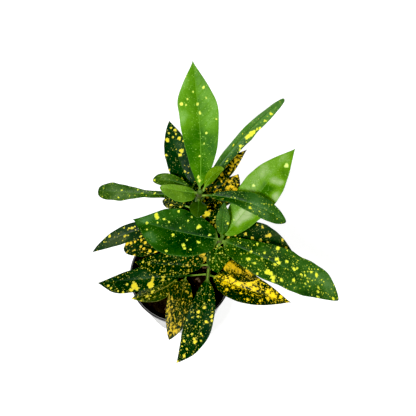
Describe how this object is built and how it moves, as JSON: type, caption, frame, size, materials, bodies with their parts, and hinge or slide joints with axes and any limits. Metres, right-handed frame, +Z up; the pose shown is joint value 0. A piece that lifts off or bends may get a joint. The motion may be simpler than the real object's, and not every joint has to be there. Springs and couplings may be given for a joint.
{
  "type": "potted croton",
  "caption": "Croton plant with leaning stems and broad glossy green leaves splashed with yellow, rooted in soil in a small round black plastic pot.",
  "frame": {"origin": "middle of the pot's flat underside", "axes": "+Z up, +Y away from the viewer of the picture towards the side the taller stem leans to, +X to the viewer's right"},
  "size_m": [0.2383, 0.2169, 0.2764],
  "materials": {
    "pot": "glossy black moulded plastic",
    "soil": "damp dark potting mix with bark crumbs",
    "stem": "green-brown young bark with leaf scars",
    "leaf_young": "glossy light green with a few pale yellow dots",
    "leaf_green": "glossy mid green with yellow dots",
    "leaf_dark": "glossy dark green with yellow spots",
    "leaf_golden": "glossy dark green mostly covered by golden blotches"
  },
  "bodies": {
    "root": {"pot": "pot", "soil": "soil", "stem_a": "stem", "stem_b": "stem", "leaf_a01": "leaf_young", "leaf_a02": "leaf_green", "leaf_a03": "leaf_young", "leaf_a04": "leaf_young", "leaf_a05": "leaf_green", "leaf_a06": "leaf_green", "leaf_a07": "leaf_green", "leaf_a08": "leaf_green", "leaf_a09": "leaf_dark", "leaf_a10": "leaf_golden", "leaf_a11": "leaf_golden", "leaf_a12": "leaf_dark", "leaf_a13": "leaf_dark", "leaf_a14": "leaf_dark", "leaf_a15": "leaf_dark", "leaf_a16": "leaf_dark", "leaf_a17": "leaf_dark", "leaf_a18": "leaf_golden", "leaf_a19": "leaf_dark", "leaf_b01": "leaf_young", "leaf_b02": "leaf_green", "leaf_b03": "leaf_green", "leaf_b04": "leaf_green", "leaf_b05": "leaf_dark", "leaf_b06": "leaf_green", "leaf_b07": "leaf_golden", "leaf_b08": "leaf_golden", "leaf_b09": "leaf_dark", "leaf_b10": "leaf_dark", "leaf_b11": "leaf_dark", "leaf_b12": "leaf_dark", "leaf_b13": "leaf_dark", "leaf_b14": "leaf_dark"}
  },
  "joints": []
}
